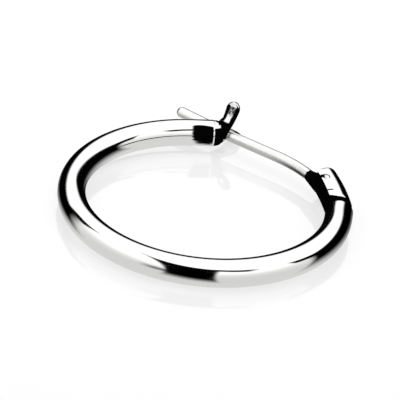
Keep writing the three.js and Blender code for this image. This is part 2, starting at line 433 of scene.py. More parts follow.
def draw_section_along(bm: BMesh, radius: float, sides: int, path: BentPath, facet: float) -> None:
    """Draws a closed round rod along a path, leg by leg.

    Args:
        bm: Where the rod is made.
        radius: The rod's radius in millimetres.
        sides: How many sides its section has.
        path: The rod's centre line.
        facet: The length of one facet along a leg, in millimetres.
    """
    made = bmesh.ops.create_circle(bm, cap_ends=True, segments=sides, radius=radius)
    stand = path.frame_at(0.0) @ Matrix.Rotation(math.pi / 2, 4, "Y")
    bmesh.ops.transform(bm, matrix=stand, verts=made["verts"])
    last = list(bm.faces)
    place, heading = path.start, path.heading
    for leg in path.legs:
        steps = max(1, round(leg.length / facet))
        if abs(leg.turn) < NO_TURN:
            ahead = Vector((*along((0.0, 0.0), heading, leg.length / steps), 0.0))
            for _ in range(steps):
                last, _verts = pull(bm, last, ahead)
            place = along(place, heading, leg.length)
        else:
            bend_radius = leg.length / math.radians(leg.turn)
            centre = along(place, heading + 90.0, bend_radius)
            swung = bmesh.ops.spin(bm, geom=last, cent=(*centre, 0.0), axis=(0, 0, 1),
                                   angle=math.radians(leg.turn), steps=steps, use_duplicate=False)
            last = [part for part in swung["geom_last"] if isinstance(part, BMFace)]
            heading += leg.turn
            place = along(centre, heading - 90.0, bend_radius)
    doubled = [face for face in bm.faces if all(not edge.is_manifold for edge in face.edges)]
    bmesh.ops.delete(bm, geom=doubled, context="FACES_ONLY")
    clean(bm)


def end_loops(bm: BMesh, sides: int) -> list[list[BMEdge]]:
    """The edges round each of a rod's two end faces."""
    return [list(face.edges) for face in bm.faces if len(face.verts) == sides]


# ---------------------------------------------------------------------------------------------
# Finishes


class NodeSheet:
    """A node tree that is written one node at a time."""

    def __init__(self, tree: bpy.types.NodeTree) -> None:
        """Starts on an empty tree."""
        self.tree = tree

    def add(self, kind: str, inputs: Optional[dict[str | int, Any]] = None,
            **settings: Any) -> bpy.types.Node:
        """Adds a node.

        Args:
            kind: The node's type name.
            inputs: What goes into its sockets, by name or number: a value, or a socket to link from.
            settings: The node's own settings.

        Returns:
            The new node.
        """
        node = self.tree.nodes.new(kind)
        for name, value in settings.items():
            setattr(node, name, value)
        for name, value in (inputs or {}).items():
            if isinstance(value, bpy.types.NodeSocket):
                self.tree.links.new(value, node.inputs[name])
            else:
                node.inputs[name].default_value = value
        return node

    def math(self, operation: str, first: Any, second: Any = 0.0) -> bpy.types.NodeSocket:
        """Adds a Math node and gives its result."""
        return self.add("ShaderNodeMath", {0: first, 1: second}, operation=operation).outputs[0]

    def mix(self, part: Any, first: Any, second: Any) -> bpy.types.NodeSocket:
        """Adds a Mix node that goes from one colour to another as part goes from 0 to 1."""
        return self.add("ShaderNodeMix", {"Factor": part, 6: first, 7: second}, data_type="RGBA").outputs[2]

    def ramp(self, value: Any, low: float, high: float, start: Any = 0.0,
             end: Any = 1.0) -> bpy.types.NodeSocket:
        """Adds a Map Range node that eases from start to end as value goes from low to high."""
        return self.add("ShaderNodeMapRange", {0: value, 1: low, 2: high, 3: start, 4: end},
                        interpolation_type="SMOOTHSTEP", clamp=True).outputs[0]


# The attributes that each piece carries, point by point: grain coordinates and how dark it is painted, for
# painted shade, painted dark reflections and darker patches.
GRAIN = "grain"
PAINTED_DARK_ATTRIBUTE = "recess"

# The names of the shared groups.
POLISHING_MARKS = "polishing_marks"
DARKENED_SILVER = "darkened_silver"

# How much of the polishing height the fine lines have. The broad waves have the rest.
FINE_SHARE = 0.6
# How many polishing lines go to one cloud.
LINES_TO_CLOUD = 6
# Between which values of its noise a cloud starts and is full.
CLOUD_EDGE: Point = (0.35, 0.65)
# Between which amounts bare silver turns into the full painted dark.
PAINTED_DARK_EDGE: Point = (0.36, 0.62)
# From how much painted dark the surface stops being metal, so that it stays black seen edge on.
NO_LONGER_METAL = 0.9


def new_group(name: str, takes: dict[str, str], gives: dict[str, str]) -> bpy.types.NodeTree:
    """Starts a shader node group with named sockets.

    Args:
        name: The group's name.
        takes: Its input sockets, each with its socket type.
        gives: Its output sockets, each with its socket type.

    Returns:
        The empty group.
    """
    group = bpy.data.node_groups.new(name, "ShaderNodeTree")
    for socket, kind in takes.items():
        group.interface.new_socket(socket, in_out="INPUT", socket_type=kind)
    for socket, kind in gives.items():
        group.interface.new_socket(socket, in_out="OUTPUT", socket_type=kind)
    return group


def polishing_marks() -> bpy.types.NodeTree:
    """Builds the group for the fine lines and the clouding that a polishing wheel leaves.

    Returns:
        A group that takes grain coordinates in millimetres and gives a height and a cloud, 0 to 1.
    """
    group = new_group(POLISHING_MARKS,
                      {"Grain": "NodeSocketVector", "Lines": "NodeSocketFloat", "Clouds": "NodeSocketFloat"},
                      {"Height": "NodeSocketFloat", "Cloud": "NodeSocketFloat"})
    sheet = NodeSheet(group)
    takes = sheet.add("NodeGroupInput").outputs
    fine = sheet.add("ShaderNodeTexNoise", {"Vector": takes["Grain"], "Scale": takes["Lines"],
                                            "Detail": 3.0, "Roughness": 0.6}).outputs["Fac"]
    broad = sheet.add("ShaderNodeTexNoise", {"Vector": takes["Grain"], "Scale": takes["Clouds"],
                                             "Detail": 2.0}).outputs["Fac"]
    height = sheet.math("ADD", sheet.math("MULTIPLY", fine, FINE_SHARE),
                        sheet.math("MULTIPLY", broad, 1.0 - FINE_SHARE))
    cloud = sheet.ramp(broad, *CLOUD_EDGE)
    sheet.add("NodeGroupOutput", {"Height": height, "Cloud": cloud})
    return group


def darkened_silver() -> bpy.types.NodeTree:
    """Builds the group that breaks up the edge of the painted dark: painted shade, painted dark reflections
    and darker patches.

    Returns:
        A group that takes grain coordinates and an amount and gives a mask, 0 to 1.
    """
    group = new_group(DARKENED_SILVER,
                      {"Grain": "NodeSocketVector", "Amount": "NodeSocketFloat",
                       "Grit": "NodeSocketFloat", "Break Up": "NodeSocketFloat"},
                      {"Mask": "NodeSocketFloat"})
    sheet = NodeSheet(group)
    takes = sheet.add("NodeGroupInput").outputs
    grit = sheet.add("ShaderNodeTexNoise", {"Vector": takes["Grain"], "Scale": takes["Grit"],
                                            "Detail": 4.0, "Roughness": 0.65}).outputs["Fac"]
    ragged = sheet.math("MULTIPLY", sheet.math("SUBTRACT", grit, 0.5), takes["Break Up"])
    mask = sheet.ramp(sheet.math("ADD", takes["Amount"], ragged), *PAINTED_DARK_EDGE)
    sheet.add("NodeGroupOutput", {"Mask": mask})
    return group


@dataclass(frozen=True)
class SilverFinish:
    """Polished sterling silver, painted near-black where a piece's own mask asks for it, as painted shade,
    painted dark reflections and darker patches.

    Attributes:
        name: The material's name.
        colour: The clean metal's colour.
        cloud_shade: How light a clouded patch is beside the clean metal.
        polish: The clean metal's roughness.
        haze: How much rougher a clouded patch is.
        lines: How many polishing lines there are to a millimetre.
        line_depth: How deep the lines and waves look, in metres.
        painted_dark: The near-black colour of the painted dark.
        painted_dark_roughness: The painted dark's roughness.
        dark_in_own_reflection: From how far off, in metres, the hoop is painted dark where it is seen in its
            own mirror image, a painted dark reflection.
        grit: How fine the painted dark's broken edge is, in grains to a millimetre.
        break_up: How ragged that edge is.
    """

    name: str
    colour: tuple[float, float, float] = (0.93, 0.925, 0.91)
    cloud_shade: float = 0.965
    polish: float = 0.035
    haze: float = 0.05
    lines: float = 9.0
    line_depth: float = 3.0e-7
    painted_dark: tuple[float, float, float] = (0.0015, 0.0015, 0.0015)
    painted_dark_roughness: float = 0.3
    dark_in_own_reflection: Point = (0.0045, 0.0075)
    grit: float = 7.0
    break_up: float = 0.45

    def material(self) -> bpy.types.Material:
        """Builds the finish from the shared groups.

        Returns:
            The finished material.
        """
        made = bpy.data.materials.new(self.name)
        made.use_nodes = True
        made.node_tree.nodes.clear()
        sheet = NodeSheet(made.node_tree)
        grain = sheet.add("ShaderNodeAttribute", attribute_name=GRAIN).outputs["Vector"]
        # How dark the piece is painted here: painted shade, painted dark reflections and darker patches.
        recess = sheet.add("ShaderNodeAttribute", attribute_name=PAINTED_DARK_ATTRIBUTE).outputs["Fac"]
        marks = sheet.add("ShaderNodeGroup",
                          {"Grain": grain, "Lines": self.lines, "Clouds": self.lines / LINES_TO_CLOUD},
                          node_tree=bpy.data.node_groups[POLISHING_MARKS]).outputs
        dark = sheet.add("ShaderNodeGroup", {"Grain": grain, "Amount": recess, "Grit": self.grit,
                                             "Break Up": self.break_up},
                         node_tree=bpy.data.node_groups[DARKENED_SILVER]).outputs
        # Glossy rays that have come far paint the metal near-black: a painted dark reflection of the hoop in
        # itself, joined into the mask.
        path = sheet.add("ShaderNodeLightPath").outputs
        across = sheet.math("MULTIPLY", path["Is Glossy Ray"], sheet.ramp(path["Ray Length"], *self.dark_in_own_reflection))
        mask = sheet.math("MAXIMUM", dark["Mask"], across)
        clouded = [part * self.cloud_shade for part in self.colour]
        clean_colour = sheet.mix(marks["Cloud"], (*self.colour, 1.0), (*clouded, 1.0))
        # Where the mask asks, the colour goes near-black: painted shade, painted dark reflections and the
        # darker patches.
        colour = sheet.mix(mask, clean_colour, (*self.painted_dark, 1.0))
        clean_rough = sheet.ramp(marks["Cloud"], 0.0, 1.0, self.polish, self.polish + self.haze)
        rough = sheet.ramp(mask, 0.0, 1.0, clean_rough, self.painted_dark_roughness)
        metal = sheet.ramp(mask, NO_LONGER_METAL, 1.0, 1.0, 0.0)
        bump = sheet.add("ShaderNodeBump", {"Height": marks["Height"], "Strength": 1.0,
                                            "Distance": self.line_depth}).outputs["Normal"]
        surface = sheet.add("ShaderNodeBsdfPrincipled",
                            {"Base Color": colour, "Metallic": metal, "Specular IOR Level": 0.0,
                             "Roughness": rough, "Normal": bump})
        sheet.add("ShaderNodeOutputMaterial", {"Surface": surface.outputs[0]})
        return made


HOOP_SILVER = SilverFinish("hoop_silver")
WIRE_SILVER = SilverFinish("wire_silver", polish=0.3, haze=0.05, lines=14.0, break_up=0.04)
RIVET_SILVER = SilverFinish("rivet_silver", colour=(0.86, 0.85, 0.83), polish=0.1, haze=0.08)

GrainOf = Callable[[Vector], Vector]
# Gives how dark a place is painted, for painted shade, painted dark reflections and darker patches.
PaintedDarkOf = Callable[[Vector, Vector], float]


def plain_grain(place: Vector) -> Vector:
    """Grain that runs no special way."""
    return place


def all_dark(_place: Vector, _normal: Vector) -> float:
    """Painted dark all over: on the neck and the tongue, painted shade."""
    return 1.0


@dataclass(frozen=True)
class Fitting:
    """Where a piece belongs and what it stands for.

    Attributes:
        body: The body that it moves with.
        node: The CAD node that it stands for.
        slot: The record's material slot that goes with it.
    """

    body: Body
    node: str
    slot: Slot


HOOP_FITTING = Fitting(Body.HOOP, "hoop", Slot.SILVER)
PIN_FITTING = Fitting(Body.HOOP, "hinge_pin", Slot.PIN)
WIRE_FITTING = Fitting(Body.WIRE, "ear_wire", Slot.WIRE)


def dress(piece: bpy.types.Object, material: bpy.types.Material, fitting: Fitting, edges: Edges,
          grain: GrainOf, recess: PaintedDarkOf) -> bpy.types.Object:
    """Finishes a piece that is drawn in the hoop's plane, lays it down and fits it to its body.

    Args:
        piece: The object, in millimetres in the hoop's plane.
        material: Its finish.
        fitting: Where it belongs.
        edges: How its faces are shaded.
        grain: Gives the grain coordinates of a place on it, in millimetres.
        recess: Gives how dark a place with a normal is painted, 0 to 1: painted shade, painted dark
            reflections and darker patches.

    Returns:
        The finished object.
    """
    mesh = piece.data
    places = [vert.co.copy() for vert in mesh.vertices]
    normals = [vert.normal.copy() for vert in mesh.vertices]
    grains = [part for place in places for part in grain(place)]
    painted_dark_amounts = [recess(place, normal) for place, normal in zip(places, normals)]
    mesh.attributes.new(GRAIN, "FLOAT_VECTOR", "POINT").data.foreach_set("vector", grains)
    mesh.attributes.new(PAINTED_DARK_ATTRIBUTE, "FLOAT", "POINT").data.foreach_set("value", painted_dark_amounts)
    mesh.transform(LAY)
    mesh.materials.clear()
    mesh.materials.append(material)
    mesh.shade_smooth()
    if edges is Edges.CRISP:
        mesh.set_sharp_from_angle(angle=edges.value)
    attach(piece, fitting.body.value)
    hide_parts(fitting.node)
    log.info("%s: %d faces, rides on %s", piece.name, len(mesh.polygons), fitting.body.value)
    return piece


def ease(value: float, low: float, high: float) -> float:
    """Goes smoothly from 0 at low to 1 at high."""
    part = min(max((value - low) / (high - low), 0.0), 1.0)
    return part * part * (3.0 - 2.0 * part)


def band(value: float, rise: Point, fall: Point) -> float:
    """Goes smoothly from 0 to 1 over one stretch and back to 0 over another."""
    return ease(value, *rise) * (1.0 - ease(value, *fall))


# ---------------------------------------------------------------------------------------------
# The hoop


@dataclass(frozen=True)
class HoopTube:
    """The round tube, bent to three quarters of a circle and straight at both its ends.

    Angles are bearings from the hoop's centre in degrees, and lengths are in millimetres.

    Attributes:
        hoop_radius: The radius of the bent tube's centre line.
        tube_radius: Half the tube's thickness.
        catch_angle: Where the bend starts, at the catch.
        catch_straight: How long the straight stretch before it is.
        hinge_angle: Where the tube's end face is, at the hinge.
        straight: How long the straight stretch before that face is.
        hinge_rounding: How far the rim is rounded at the hinge.
        catch_rounding: How far it is rounded at the catch.
        rim_facets: How many facets such a rim has.
        sides: How many sides the tube has.
        facet: The length of one facet along it.
        vent_radius: Half the width of the vent hole in its underside.
        vent_angle: Where that hole is.
        vent_sides: How many sides it has.
        grain_stretch: What lengths along it are multiplied by, which draws the polishing lines out.
        wall_dark: From how far to how far inside the centre line the inner wall gets darker.
        catch_dark_start: From how far to how far from the catch's end face the darker patch grows.
        catch_dark_end: From how far to how far from it the patch fades.
        catch_dark_height: Between which heights the patch at the catch gets darker.
        catch_dark_foot: How much of it there is below them.
        hinge_dark: How dark the inner wall is painted at the hinge.
        hinge_dark_start: Between which angles it grows.
        hinge_dark_end: Between which angles it fades.
    """

    hoop_radius: float = 9.4
    tube_radius: float = 0.98
    catch_angle: float = 98.5
    catch_straight: float = 1.55
    hinge_angle: float = 2.0
    straight: float = 1.1
    hinge_rounding: float = 0.14
    catch_rounding: float = 0.16
    rim_facets: int = 6
    sides: int = 96
    facet: float = 0.2
    vent_radius: float = 0.25
    vent_angle: float = 99.0
    vent_sides: int = 32
    grain_stretch: float = 0.05
    wall_dark: Point = (0.3, 0.55)
    catch_dark_start: Point = (0.16, 0.2)
    catch_dark_end: Point = (1.1, 2.4)
    catch_dark_height: Point = (-0.9, 0.45)
    catch_dark_foot: float = 0.35
    hinge_dark: float = 0.9
    hinge_dark_start: Point = (-32.0, -14.0)
    hinge_dark_end: Point = (10.0, 12.0)

    @property
    def bend_end(self) -> float:
        """The angle where the bend ends and the straight stretch starts, in degrees."""
        return self.hinge_angle - math.degrees(self.straight / self.hoop_radius)

    @property
    def catch_end(self) -> Point:
        """The middle of the tube's end face at the catch."""
        bend_start = along((0.0, 0.0), self.catch_angle, self.hoop_radius)
        return along(bend_start, self.catch_angle - 90.0, self.catch_straight)

    @property
    def path(self) -> BentPath:
        """Lays out the tube's centre line.

        Returns:
            The path from the catch round to the hinge.
        """
        round_about = 360.0 + self.bend_end - self.catch_angle
        bend = Leg(self.hoop_radius * math.radians(round_about), round_about)
        legs = (Leg(self.catch_straight), bend, Leg(self.straight))
        return BentPath(self.catch_end, self.catch_angle + 90.0, legs)

    def grain(self, place: Vector) -> Vector:
        """Lays the polishing lines round the hoop.

        Args:
            place: A place on the tube, in the hoop's plane.

        Returns:
            Its grain coordinates.
        """
        outwards = math.hypot(place.x, place.y) - self.hoop_radius
        swept = math.atan2(-place.x, -place.y) * self.hoop_radius
        return Vector((outwards, place.z, swept * self.grain_stretch))

    def recess(self, place: Vector, _normal: Vector) -> float:
        """Darkens the inner wall next to the catch and the hinge.

        Args:
            place: A place on the tube, in the hoop's plane.
            _normal: The normal there, which makes no difference.

        Returns:
            How dark it is painted, 0 to 1.
        """
        bearing = math.degrees(math.atan2(place.y, place.x))
        inward = self.hoop_radius - math.hypot(place.x, place.y)
        end, heading = self.path.at(0.0)
        from_end = (plan_frame(end, heading).inverted() @ place).x
        by_catch = band(from_end, self.catch_dark_start, self.catch_dark_end)
        above_foot = (1.0 - self.catch_dark_foot) * ease(place.z, *self.catch_dark_height)
        by_catch *= self.catch_dark_foot + above_foot
        by_hinge = self.hinge_dark * band(bearing, self.hinge_dark_start, self.hinge_dark_end)
        return ease(inward, *self.wall_dark) * max(by_catch, by_hinge)

    def build(self, material: bpy.types.Material, cutters: Sequence[BMesh]) -> bpy.types.Object:
        """Draws the tube, rounds its ends, drills its vent and clears the wire's way.

        Args:
            material: The tube's finish.
            cutters: The shapes that the wire's way takes out of it. They are used up.

        Returns:
            The finished tube.
        """
        bm = bmesh.new()
        draw_section_along(bm, self.tube_radius, self.sides, self.path, self.facet)
        for loop in end_loops(bm, self.sides):
            is_hinge_end = loop[0].verts[0].co.y < self.hoop_radius / 2
            rounding = self.hinge_rounding if is_hinge_end else self.catch_rounding
            bevel(bm, loop, rounding, self.rim_facets)
        tube = object_from(bm, "hoop_tube")
        vent = rod(self.vent_radius, self.tube_radius, self.vent_sides)
        place = along((0.0, 0.0), self.vent_angle, self.hoop_radius)
        move_all(vent, Matrix.Translation((*place, -self.tube_radius)))
        for cutter in (vent, *cutters):
            combine(tube, cutter, "DIFFERENCE")
        return dress(tube, material, HOOP_FITTING, Edges.CRISP, self.grain, self.recess)


@dataclass(frozen=True)
class HingeHousing:
    """The rounded bar at the tube's end, slotted into two ears for the wire's tongue.

    Lengths are in millimetres and angles in degrees. A pair gives where something starts and where
    it is full.

    Attributes:
        start: Where the bar's centre line starts, in the hoop's plane.
        heading: Which way it starts.
        length: How long it is.
        turn: How far it turns over that length.
        half_height: Half the bar's height.
        half_width: How far the bar reaches inwards from the line.
        outer_width: How far it reaches outwards.
        inner_rounding: How far its far corner is rounded in plan, on the inner side.
        outer_rounding: How far on the outer side.
        corner_facets: How many facets such a corner has.
        inner_rim: How far its long edges are rounded on the inner side.
        outer_rim: How far on the outer side.
        rim_facets: How many facets such an edge has.
        bend_parts: In how many straight parts it is bent.
        plan_play: How far its outline in plan stands off its sides.
        outline_height: How tall the block is that gives it that outline.
        shoulder: How far along the line its near end is.
        near_slant: How far that end is cut aslant.
        neck_radius: Half the neck's thickness.
        neck_reach: Where along the line the neck starts and ends.
        neck_sides: How many sides the neck has.
        neck_facet: The length of one facet along it.
        slot_heading: Which way the slot runs.
        slot_depth: How deep it is.
        slot_height: How high it is.
        slot_past: How far its cutter sticks out past the bar.
        pin_hole: Half the width of the rivet's hole.
        cut_length: How long the cutters of slot and hole are.
        notch_place: Where the notch in the upper face is, in the hoop's plane.
        notch_size: Its three sizes.
        grain_stretch: What lengths along it are multiplied by, which draws the polishing lines out.
        flat_slope: How upright the normals are where the dark side turns into the clean flats.
        side_slope: How far they face the hoop's middle where the dark side starts.
        slot_shade: How far below the flats the painted shade in the slot starts.
        notch_shade: How far below them the painted shade in the notch starts.
        notch_slope: How upright the normals of its floor are.
        rivet_shade_place: Where the painted shade round the rivet is, in the hoop's plane.
        rivet_shade_spread: How far from there it starts to fade and where it is gone.
        rivet_shade: How dark it is.
    """

    start: Point = (9.43, 0.5)
    heading: float = 98.8
    length: float = 4.44
    turn: float = 12.2
    half_height: float = 0.84
    half_width: float = 0.87
    outer_width: float = 0.97
    inner_rounding: float = 1.0
    outer_rounding: float = 0.45
    corner_facets: int = 14
    inner_rim: float = 0.36
    outer_rim: float = 0.82
    rim_facets: int = 12
    bend_parts: int = 26
    plan_play: float = 0.02
    outline_height: float = 4.0
    shoulder: float = 0.3
    near_slant: float = 0.5
    neck_radius: float = 0.83
    neck_reach: Point = (-0.4, 0.8)
    neck_sides: int = 64
    neck_facet: float = 0.1
    slot_heading: float = 108.0
    slot_depth: float = 2.05
    slot_height: float = 0.78
    slot_past: float = 2.0
    pin_hole: float = 0.3
    cut_length: float = 6.0
    notch_place: Point = (8.6, 1.8)
    notch_size: tuple[float, float, float] = (0.16, 0.62, 0.16)
    grain_stretch: float = 0.08
    flat_slope: Point = (0.84, 0.96)
    side_slope: Point = (-0.35, 0.05)
    slot_shade: Point = (0.2, 0.3)
    notch_shade: Point = (0.02, 0.05)
    notch_slope: Point = (0.9, 0.97)
    rivet_shade_place: Point = (8.1, 3.6)
    rivet_shade_spread: Point = (0.1, 0.36)
    rivet_shade: float = 0.75

    @property
    def path(self) -> BentPath:
        """The bar's centre line."""
        return BentPath(self.start, self.heading, (Leg(self.length, self.turn),))

    @property
    def inwards(self) -> Vector:
        """The direction from the bar to the middle of the hoop."""
        return Vector((*along((0.0, 0.0), self.heading + self.turn / 2 + 90.0, 1.0), 0.0))

    def grain(self, place: Vector) -> Vector:
        """Polishing lines that run along the bar."""
        local = plan_frame(self.start, self.heading + self.turn / 2).inverted() @ place
        return Vector((local.y, local.z, local.x * self.grain_stretch))

    def recess(self, place: Vector, normal: Vector) -> float:
        """Darkens the inner side, and paints shade in the slot, in the notch and round the rivet.

        Args:
            place: A place on the housing, in the hoop's plane.
            normal: The normal there.

        Returns:
            How dark it is painted, 0 to 1.
        """
        upright = abs(normal.z)
        depth = self.half_height - abs(place.z)
        side = (1.0 - ease(upright, *self.flat_slope)) * ease(normal.dot(self.inwards), *self.side_slope)
        # Painted shade inside the slot and the notch, and round the rivet.
        inside = ease(depth, *self.slot_shade)
        notched = ease(depth, *self.notch_shade) * ease(upright, *self.notch_slope)
        off_rivet_shade = (place.xy - Vector(self.rivet_shade_place)).length
        by_rivet = self.rivet_shade * (1.0 - ease(off_rivet_shade, *self.rivet_shade_spread))
        return max(side, inside, notched, by_rivet)

    def bar(self) -> BMesh:
        """Shapes the bar before it is slotted, with its long edges rounded over.

        Returns:
            The closed bar in the hoop's plane.
        """
        span = self.length - self.shoulder
        width = self.half_width + self.outer_width
        bm = block((span, width, 2 * self.half_height),
                   (self.shoulder + span / 2, self.half_width - width / 2, 0))
        for side, rounding in ((1, self.inner_rim), (-1, self.outer_rim)):
            bevel(bm, [edge for edge in bm.edges if self.is_long(edge, side)], rounding, self.rim_facets)
        for vert in bm.verts:
            if vert.co.x < self.shoulder + TOUCHING:
                vert.co.x += self.near_slant * (vert.co.y + self.outer_width) / width
        slice_evenly(bm, 0, self.shoulder + self.near_slant, self.length, self.bend_parts)
        clean(bm)
        bend_along(bm, self.path)
        return bm

    def is_long(self, edge: BMEdge, side: int) -> bool:
        """Tells whether an edge runs along one of the unbent bar's long corners.

        Args:
            edge: The edge.
            side: 1 for the corners on the inner side and -1 for those on the outer.

        Returns:
            Whether it does.
        """
        first, second = (vert.co for vert in edge.verts)
        corner = (self.half_width if side > 0 else self.outer_width) - TOUCHING
        return abs(first.x - second.x) > TOUCHING and min(side * first.y, side * second.y) > corner

    def outline(self) -> BMesh:
        """Shapes the bar's outline in plan as a tall block, with its far corners rounded.

        Returns:
            The closed block in the hoop's plane.
        """
        inner, outer = self.half_width + self.plan_play, self.outer_width + self.plan_play
        reach = self.length + self.shoulder
        bm = block((reach, inner + outer, self.outline_height),
                   (self.length - reach / 2, (inner - outer) / 2, 0))
        for side, rounding in ((inner, self.inner_rounding), (-outer, self.outer_rounding)):
            corner = Vector((self.length, side))
            upright = [edge for edge in bm.edges
                       if all((vert.co.xy - corner).length < TOUCHING for vert in edge.verts)]
            bevel(bm, upright, rounding, self.corner_facets)
        slice_evenly(bm, 0, 0.0, self.length, self.bend_parts)
        clean(bm)
        bend_along(bm, self.path)
        return bm

    def build(self, material: bpy.types.Material, pin: Point) -> bpy.types.Object:
        """Rounds the bar, slots it, drills it and notches it.

        Args:
            material: The housing's finish.
            pin: Where the rivet goes, in the hoop's plane.

        Returns:
            The finished housing.
        """
        housing = object_from(self.bar(), "hinge_housing")
        end, _ = self.path.at(self.length)
        slot = block((self.slot_depth + self.slot_past, self.cut_length, self.slot_height),
                     ((self.slot_past - self.slot_depth) / 2, 0, 0))
        move_all(slot, plan_frame(end, self.slot_heading))
        hole = rod(self.pin_hole, self.cut_length, HOLE_SIDES)
        move_all(hole, Matrix.Translation((*pin, 0.0)))
        notch = block(self.notch_size, (0, 0, 0))
        upper_face = Matrix.Translation((0, 0, self.half_height))
        move_all(notch, upper_face @ plan_frame(self.notch_place, self.slot_heading))
        combine(housing, self.outline(), "INTERSECT")
        for cutter in (slot, hole, notch):
            combine(housing, cutter, "DIFFERENCE")
        soften_edges(housing)
        return dress(housing, material, HOOP_FITTING, Edges.CRISP, self.grain, self.recess)

    def build_neck(self, material: bpy.types.Material) -> bpy.types.Object:
        """Makes the short round neck in the groove between the tube and the bar, painted dark all over as the
        groove's shade.

        Args:
            material: The neck's finish.

        Returns:
            The finished neck.
        """
        back, ahead = self.neck_reach
        line = BentPath(along(self.start, self.heading, back), self.heading, (Leg(ahead - back),))
        bm = bmesh.new()
        draw_section_along(bm, self.neck_radius, self.neck_sides, line, self.neck_facet)
        neck = object_from(bm, "hinge_neck")
        # The neck is painted dark all over: painted shade in the groove.
        return dress(neck, material, HOOP_FITTING, Edges.CRISP, self.grain, all_dark)


@dataclass(frozen=True)
class Rivet:
    """The pin through both ears, its ends spread a little below the faces.

    Attributes:
        place: Where it stands in the hoop's plane, in millimetres.
        radius: Half its thickness.
        half_length: Half its length.
        dome: How far the rims of its ends are rounded.
        dome_facets: How many facets such a rim has.
        rivet_shade: How dark the painted shade is on the half of its ends that faces the hoop's middle.
        rivet_shade_edge: Between which places across it that shade fades.
    """

    place: Point = PIN_PLACE
    radius: float = 0.28
    half_length: float = 0.83
    dome: float = 0.06
    dome_facets: int = 6
    rivet_shade: float = 0.8
    rivet_shade_edge: Point = (-0.12, 0.02)

    def recess(self, place: Vector, _normal: Vector) -> float:
        """Painted shade on the half of the pin's ends that faces the middle of the hoop."""
        return self.rivet_shade * (1.0 - ease(place.x - self.place[0], *self.rivet_shade_edge))

    def build(self, material: bpy.types.Material) -> bpy.types.Object:
        """Turns the pin with domed ends.

        Args:
            material: The pin's finish.

        Returns:
            The finished pin.
        """
        bm = rod(self.radius, 2 * self.half_length, HOLE_SIDES)
        rims = [edge for edge in bm.edges if abs(edge.verts[0].co.z - edge.verts[1].co.z) < TOUCHING]
        bevel(bm, rims, self.dome, self.dome_facets)
        clean(bm)
        move_all(bm, Matrix.Translation((*self.place, 0.0)))
        pin = object_from(bm, "hinge_rivet")
        return dress(pin, material, PIN_FITTING, Edges.CRISP, plain_grain, self.recess)


@dataclass(frozen=True)
class Leaf:
    """One leaf of the catch, from the middle of the valley to its rounded tip.

    Attributes:
        side: 1 for the upper leaf and -1 for the lower.
        slope: The angle at which it leaves the valley, in degrees.
        length: The length of its arm past the valley, in millimetres.
        turn: How far the arm bends, in degrees.
        share: How much of that bend is in the arm's first half.
        base: Where its middle stands along the wire at the valley, in millimetres.
        tip: Where its middle stands along the wire at the tip.
        base_half: Half its width at the valley.
        tip_half: Half its width near the tip.
    """

    side: int
    slope: float
    length: float
    turn: float
    share: float
    base: float
    tip: float
    base_half: float
    tip_half: float


@dataclass(frozen=True)
class CatchPaintedShadeAndReflection:
    """Where the catch is painted dark, as painted shade and painted dark reflections, in the catch's own
    frame and in millimetres.

    A pair gives where something starts and where it is full, or where it starts to fade and is gone.
    X is outwards, Y is up and Z is back along the wire.

    Attributes:
        root_slope: How far up the normals point where the root's dark side turns into its clean top.
        root_back: Where along the wire that top gets dark too.
        root_top: The heights at which the root's painted shade fades.
        root_outside: How far outwards it fades.
        root_start: How far past the valley's radius it starts.
        left: How dark the upper leaf's left side is.
        left_across: Where across the leaf that side starts, as shares of its half width.
        left_height: The heights at which it starts.
        right: How dark its right side is.
        right_across: Where across the leaf that side starts.
        middle: How dark the middle of its face is.
        middle_more: How much darker the middle's upper part is.
        middle_height: The heights at which that part starts.
        foot: How dark its foot is.
        foot_outside: How far outwards the foot's oxide starts.
        foot_height: The heights at which it fades.
        leaf_start: The heights at which the painted dark reflections on the upper leaf start.
        leaf_end: The heights at which it fades.
        rim: How dark the lower leaf's rim is.
        rim_outside: How far outwards that rim starts.
        rim_depth: How far down it starts.
    """

    root_slope: Point = (0.5, 0.7)
    root_back: Point = (-1.05, -0.85)
    root_top: Point = (0.6, 0.85)
    root_outside: Point = (-0.25, 0.0)
    root_start: Point = (0.04, 0.16)
    left: float = 0.85
    left_across: Point = (-0.3, 0.6)
    left_height: Point = (0.9, 1.1)
    right: float = 0.8
    right_across: Point = (0.05, 0.85)
    middle: float = 0.38
    middle_more: float = 0.18
    middle_height: Point = (1.3, 1.7)
    foot: float = 0.85
    foot_outside: Point = (-0.62, -0.46)
    foot_height: Point = (0.98, 1.1)
    leaf_start: Point = (0.55, 0.7)
    leaf_end: Point = (2.0, 2.2)
    rim: float = 0.9
    rim_outside: Point = (1.15, 1.3)
    rim_depth: Point = (0.48, 0.53)

    def on_root(self, place: Vector, normal: Vector, valley_radius: float) -> float:
        """Paints shade on the root's inner side.

        Args:
            place: A place in the catch's frame.
            normal: The normal there, in the hoop's plane.
            valley_radius: The radius of the room that the wire lies in.

        Returns:
            How dark it is painted, 0 to 1.
        """
        near, far = self.root_start
        amount = max(1.0 - ease(normal.z, *self.root_slope), ease(place.z, *self.root_back))
        amount *= (1.0 - ease(place.y, *self.root_top)) * (1.0 - ease(place.x, *self.root_outside))
        return amount * ease(math.hypot(place.x, place.y), valley_radius + near, valley_radius + far)

    def on_leaves(self, place: Vector, upper: Leaf) -> float:
        """Paints mottled dark reflections on the upper leaf's face and a dark reflection on the lower leaf's
        rim.

        Args:
            place: A place in the catch's frame.
            upper: The upper leaf.

        Returns:
            How dark it is painted, 0 to 1.
        """
        leftward = (-place.z - upper.tip) / upper.tip_half
        left = self.left * ease(leftward, *self.left_across) * ease(place.y, *self.left_height)
        right = self.right * ease(-leftward, *self.right_across)
        middle = self.middle + self.middle_more * ease(place.y, *self.middle_height)
        foot = self.foot * ease(place.x, *self.foot_outside) * (1.0 - ease(place.y, *self.foot_height))
        face = max(left, right, middle, foot) * band(place.y, self.leaf_start, self.leaf_end)
        rim = self.rim * ease(place.x, *self.rim_outside) * ease(-place.y, *self.rim_depth)
        return max(face, rim)


